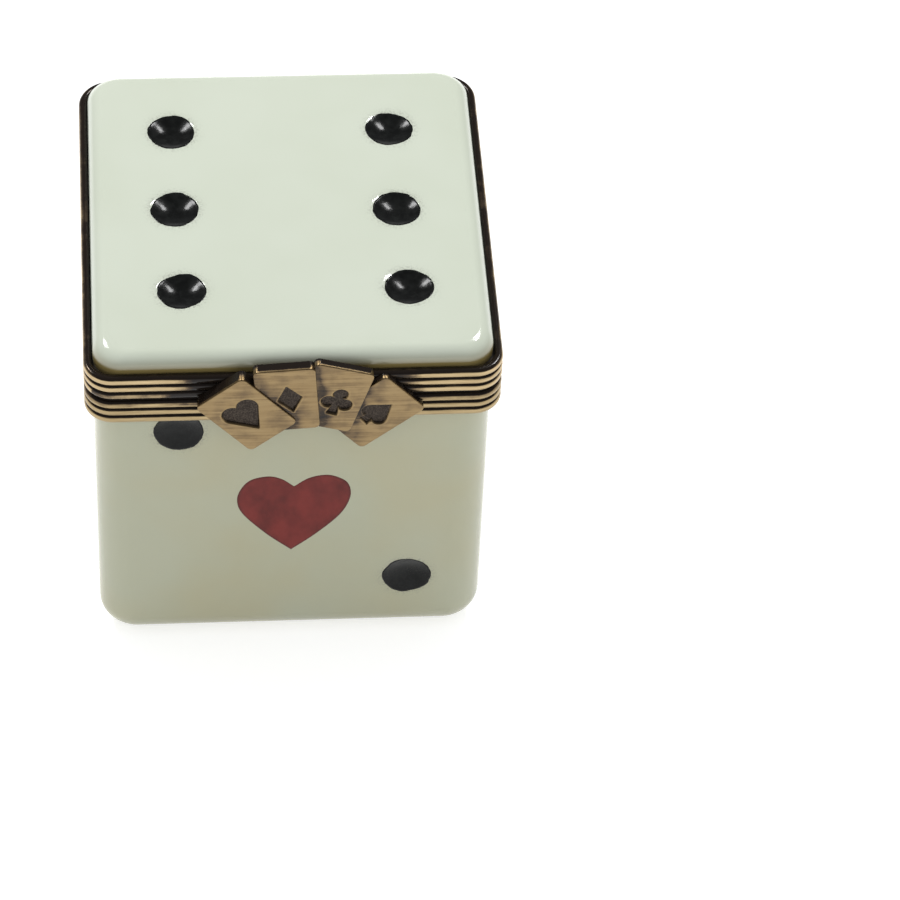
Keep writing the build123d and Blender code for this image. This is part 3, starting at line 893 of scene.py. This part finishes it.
SUITS = {  # shapes on a mark one unit high, upright, with its middle at the origin
    "heart": [("disc", -0.225, 0.245, 0.255), ("disc", 0.225, 0.245, 0.255),
              ("poly", [(-0.44, 0.11), (0.0, -0.5), (0.44, 0.11), (0, 0.3)])],
    "diamond": [("poly", [(0, 0.5), (0.345, 0), (0, -0.5), (-0.345, 0)])],
    "club": [("disc", 0, 0.285, 0.205), ("disc", -0.24, -0.06, 0.205), ("disc", 0.24, -0.06, 0.205),
             ("disc", 0, 0.04, 0.15),
             ("poly", [(-0.045, 0.05), (-0.16, -0.5), (0.16, -0.5), (0.045, 0.05)])],
    "spade": [("disc", -0.2, -0.1, 0.22), ("disc", 0.2, -0.1, 0.22),
              ("poly", [(-0.385, 0.02), (0, 0.5), (0.385, 0.02), (0, -0.2)]),
              ("poly", [(-0.04, 0), (-0.17, -0.5), (0.17, -0.5), (0.04, 0)])],
}
SUIT_ANGLES = np.arange(180) / 180 * 2 * math.pi


def suit_outline(suit):
    """Far edge of the suit in each of the directions from its middle, as distances."""
    rays = np.stack([np.cos(SUIT_ANGLES), np.sin(SUIT_ANGLES)], axis=1)
    return np.array([max(ray_reach(ray, shape) for shape in SUITS[suit]) for ray in rays])


suit_edges = {suit: suit_outline(suit) for suit in SUITS}
print("suits:", {suit: round(float(edge.max()), 2) for suit, edge in suit_edges.items()})

# %% [markdown]
# The height and the wear of a card's face both change with the distance to the suit's edge. The
# outline is a loop of short straight sides, so that distance is the smallest of those to the
# sides. It is counted as negative inside the suit, where the face is sunk.

# %% Distance to a suit's edge
def suit_distance(points, suit, height):
    """Distance from each point to the suit's outline, negative inside it."""
    edge = suit_edges[suit] * height
    loop = np.stack([edge * np.cos(SUIT_ANGLES), edge * np.sin(SUIT_ANGLES)], axis=1)
    sides = np.roll(loop, -1, axis=0) - loop
    nearest = np.full(len(points), np.inf)
    for corner, side in zip(loop, sides):
        share = np.clip(((points - corner) @ side) / max(side @ side, 1e-12), 0, 1)
        nearest = np.minimum(nearest, np.linalg.norm(points - corner - share[:, None] * side, axis=1))
    turn = np.arctan2(points[:, 1], points[:, 0]) % (2 * math.pi)
    limit = np.interp(turn, np.append(SUIT_ANGLES, 2 * math.pi), np.append(edge, edge[0]))
    inside = np.linalg.norm(points, axis=1) < limit
    return np.where(inside, -nearest, nearest)


print("club, at its middle:", round(float(suit_distance(np.zeros((1, 2)), "club", 2.45)[0]), 2))

# %% [markdown]
# The cards lie in one plane and differ only in place and lean. Each is given by its middle and its
# lean, and its suit by the same and a height, because a suit isn't always quite upright on its
# card. A rounded rectangle's distance function says how far inside a card's edge a point is.

# %% Cards of the fan
CARD_W, CARD_H, CARD_R = 4.30, 5.85, 0.40
FAN = [  # card: x and z in card widths, lean in degrees; suit: the same, and its height
    ("spade", (1.267, -0.291, -48.7), (1.326, -0.291, -52.0, 0.57)),
    ("club", (0.602, 0.102, -16.9), (0.674, 0.023, -19.0, 0.57)),
    ("diamond", (-0.140, 0.116, 4.0), (-0.088, 0.144, 12.0, 0.57)),
    ("heart", (-0.781, -0.165, 41.0), (-0.786, -0.202, 38.5, 0.665)),
]


def turned(points, degrees):
    """Points of a plane turned anticlockwise."""
    a = math.radians(degrees)
    return points @ np.array(((math.cos(a), math.sin(a)), (-math.sin(a), math.cos(a))))


def card_edge_distance(points, card):
    """How far points of the fan's plane lie inside a card's edge; negative outside it."""
    x, z, lean = card
    local = turned(points - np.array((x, z)) * CARD_W, -lean)
    over = np.abs(local) - np.array((CARD_W / 2 - CARD_R, CARD_H / 2 - CARD_R))
    outside = np.linalg.norm(np.maximum(over, 0), axis=1)
    return CARD_R - outside - np.minimum(np.maximum(over[:, 0], over[:, 1]), 0)


print("from a card's middle to its edge, mm:", card_edge_distance(np.zeros((1, 2)), (0, 0, 0)).tolist())

# %% [markdown]
# A card's grid is closer together near its edges, where the metal is rounded, than in the middle,
# which keeps the number of points down. At the round corners the rows are drawn in, so the grid's
# border is the card's own outline and nothing has to be cut away.

# %% Grid of a card
def spread(half, rim, fine, coarse):
    """Positions from -half to half, fine apart near the ends and coarse apart between."""
    ends = np.arange(0, rim, fine)
    middle = np.linspace(rim, 2 * half - rim, max(int((2 * half - 2 * rim) / coarse), 2))
    return np.concatenate([ends, middle, 2 * half - ends[::-1]]) - half


def upright_card():
    """Rows of points over an upright card's face, drawn in where its corners are round."""
    across, up = np.meshgrid(spread(1, 0.05, 0.010, 0.02), spread(CARD_H / 2, 0.11, 0.022, 0.042))
    over = np.maximum(np.abs(up) - (CARD_H / 2 - CARD_R), 0)
    half_width = CARD_W / 2 - CARD_R + np.sqrt(np.maximum(CARD_R ** 2 - over ** 2, 0))
    return np.stack([across * half_width, up], axis=2)


CARD_GRID = upright_card()
CARD_FLAT = CARD_GRID.reshape(-1, 2)
print("points on one card:", len(CARD_FLAT))

# %% [markdown]
# The face's height, its wear and its painted shadow follow from three distances: to the card's own
# edge, to its suit's outline and to the cards that lie over it. Beside a card that overlaps, the face
# is darker: partly smoky patina, where a polishing cloth never gets, and partly painted shadow of that
# card. The edges are rubbed bright. Under a covering card the metal is a little lower, so that it
# can't come through the other's sunk suit.

# %% Face of a card
LAST_CARD, CARD_STEP = 0.50, 0.15  # the spade's height above the fan's back, and each card's above it
SUNK, EDGE, RELIEF = 0.20, 0.09, 0.12  # depth of a suit, rounding of an edge, room under a cover


def card_height(place, plane, inset, gap):
    """Height of the face above the fan's back, at points of the fan's plane."""
    height = LAST_CARD + place * CARD_STEP - (EDGE - np.sqrt(EDGE ** 2 - (EDGE - inset) ** 2))
    for _, cover, _ in FAN[place + 1:]:
        height -= RELIEF * np.clip(card_edge_distance(plane, cover) / 0.2 - 1, 0, 1)
    height -= SUNK * (1 - np.clip(gap / 0.12 + 0.5, 0, 1))
    return height + 0.02 * np.exp(-((gap - 0.11) / 0.06) ** 2)


def card_wear_and_shadow(place, plane, inset, gap, sunk):
    """Rubbing and painted shadow of the face: bright at edges and round the suit, dark beside a covering
    card as patina and painted shadow.
    """
    dark_tone = np.array([noise.noise(Vector((x, place * 5.0, z)) * 0.9) for x, z in plane])
    worn = 0.66 + 0.30 * np.exp(-((gap - 0.09) / 0.05) ** 2) + 0.25 * np.exp(-inset / 0.04)
    # Painted shadow and patina: darker close to the edge of each card that lies over this one.
    for _, cover, _ in FAN[place + 1:]:
        away = np.maximum(-card_edge_distance(plane, cover), 0)
        worn -= (0.58 + 0.75 * dark_tone) * np.exp(-away / 0.55)
    return np.maximum(worn, 0.27 + 0.15 * dark_tone) * (1 - sunk) + 0.66 * sunk


print("heights of the four faces, mm:", [round(LAST_CARD + place * CARD_STEP, 2) for place in range(4)])

# %% [markdown]
# The walls and the flat back are added round the border of the grid. They could share its points,
# but then smooth shading would smear the edge. With points of their own the edge stays crisp, and
# the metal behind it can be dark.

# %% Walls and back of a card
LEDGE = 0.17  # a wall is in two parts, and this is the height of the front one


def grid_faces(rows, columns):
    """Quads over a grid of points, and its border points in their order."""
    index = np.arange(rows * columns).reshape(rows, columns)
    corners = np.stack([index[:-1, :-1], index[:-1, 1:], index[1:, 1:], index[1:, :-1]], axis=2)
    border = np.concatenate([index[0], index[1:, -1], index[-1, -2::-1], index[-2:0:-1, 0]])
    return [tuple(quad) for quad in corners.reshape(-1, 4).tolist()], border.tolist()


def card_back(points, border):
    """Points and faces of the walls and the back, for a card whose face is already there."""
    ledge, behind = points[border].copy(), points[border].copy()
    ledge[:, 1] += LEDGE
    behind[:, 1] = -CLASP_BACK
    count, first = len(border), len(points)
    faces = []
    for i in range(count):
        j = (i + 1) % count
        faces.append((border[j], border[i], first + i, first + j))
        faces.append((first + j, first + i, first + count + i, first + count + j))
    faces.append(tuple(first + 2 * count + i for i in range(count - 1, -1, -1)))
    return np.concatenate([ledge, behind, behind]), faces


print("points on the border of a card:", len(grid_faces(*CARD_GRID.shape[:2])[1]))

# %% [markdown]
# Each card is a piece of its own, so that it can be seen and dressed alone, and together they
# stand for the one casting. The corners of a card stick out most, so the rims there are rubbed
# bright, and all other walls are nearly black.

# %% Cards
def card(place, suit, where, mark):
    """One card of the fan; place counts from the back, where and mark are as in FAN."""
    x, z, lean = where
    mark_x, mark_z, mark_lean, mark_height = mark
    plane = turned(CARD_FLAT, lean) + np.array((x, z)) * CARD_W
    inset = np.clip(card_edge_distance(plane, where), 0, EDGE)
    in_mark = turned(plane - np.array((mark_x, mark_z)) * CARD_W, -mark_lean)
    gap = suit_distance(in_mark, suit, mark_height * CARD_W)
    sunk = 1 - np.clip((gap + 0.03) / 0.06, 0, 1)
    worn = card_wear_and_shadow(place, plane, inset, gap, sunk)
    forward = -CLASP_BACK - card_height(place, plane, inset, gap)
    points = np.stack([plane[:, 0], forward, plane[:, 1] + PARTING], axis=1)
    faces, border = grid_faces(*CARD_GRID.shape[:2])
    back_points, back_faces = card_back(points, border)
    piece = add_mesh(suit + "_card", np.concatenate([points, back_points]), faces + back_faces,
                     clasp_brass, "lid")
    at_corner = (np.abs(CARD_FLAT[border]) > np.array((CARD_W, CARD_H)) / 2 - 0.8 * CARD_R).all(axis=1)
    back_worn = np.where(np.concatenate([at_corner, np.zeros(2 * len(border), bool)]), 1.0, -0.3)
    paint_points(piece, "worn", np.concatenate([worn, back_worn]))
    paint_points(piece, "sunk", np.concatenate([sunk, np.zeros(len(back_points))]))
    return piece


for place, (suit, where, mark) in enumerate(FAN):
    piece = card(place, suit, where, mark)
    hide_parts("card_clasp")
    print(suit, "card:", len(piece.data.polygons), "faces")

# %% [markdown]
# ## Small fittings
#
# The hinge, the catch and the cement keep the shapes of their solids. They only need their
# finishes, put in the material slots that the solids already have.

# %% Small fittings
for node, finish in (("hinge_base_leaf", hinge_brass), ("hinge_lid_leaf", hinge_brass),
                     ("hinge_pin", hinge_brass), ("catch_fork", hinge_brass), ("catch_stud", hinge_brass),
                     ("base_cement", bedding_cement), ("lid_cement", bedding_cement)):
    for slot in frame["nodes"][node].material_slots:
        slot.material = finish
print("dressed:", [n for n in frame["nodes"] if not frame["nodes"][n].hide_render])

# %% [markdown]
# ## Floor
#
# The box stands on a plain pale sheet. It is a large square with a matt material. What the camera
# or a mirror sees of it is lifted to white, while the box's own shadow stays.

# %% Floor
floor_mesh = bpy.data.meshes.new("studio_floor")
reach = 1.5
WHITE_LIFT = 0.64  # light that the sheet gives off, to the camera and to mirrors only
floor_mesh.from_pydata([(-reach, -reach, 0), (reach, -reach, 0), (reach, reach, 0), (-reach, reach, 0)],
                       [], [(0, 1, 2, 3)])
floor = bpy.data.objects.new("studio_floor", floor_mesh)
bpy.context.scene.collection.objects.link(floor)
paper = Finish("studio_paper", roughness=0.9, specular=0.0)
paper.colour(paper.ramp(paper.noise(40), (0.3, 0.80), (0.7, 0.82)))
lift = paper.nodes.new("ShaderNodeLightPath")
both = paper.math("MAXIMUM", lift.outputs["Is Camera Ray"],
                  paper.math("MAXIMUM", lift.outputs["Is Glossy Ray"], lift.outputs["Is Transmission Ray"]))
paper.shader.inputs["Emission Color"].default_value = (1, 1, 1, 1)
paper.links.new(paper.math("MULTIPLY", both, WHITE_LIFT), paper.shader.inputs["Emission Strength"])
floor_mesh.materials.append(paper.material)
print("floor reaches", reach, "m each way")

# %% [markdown]
# ## Finish
#
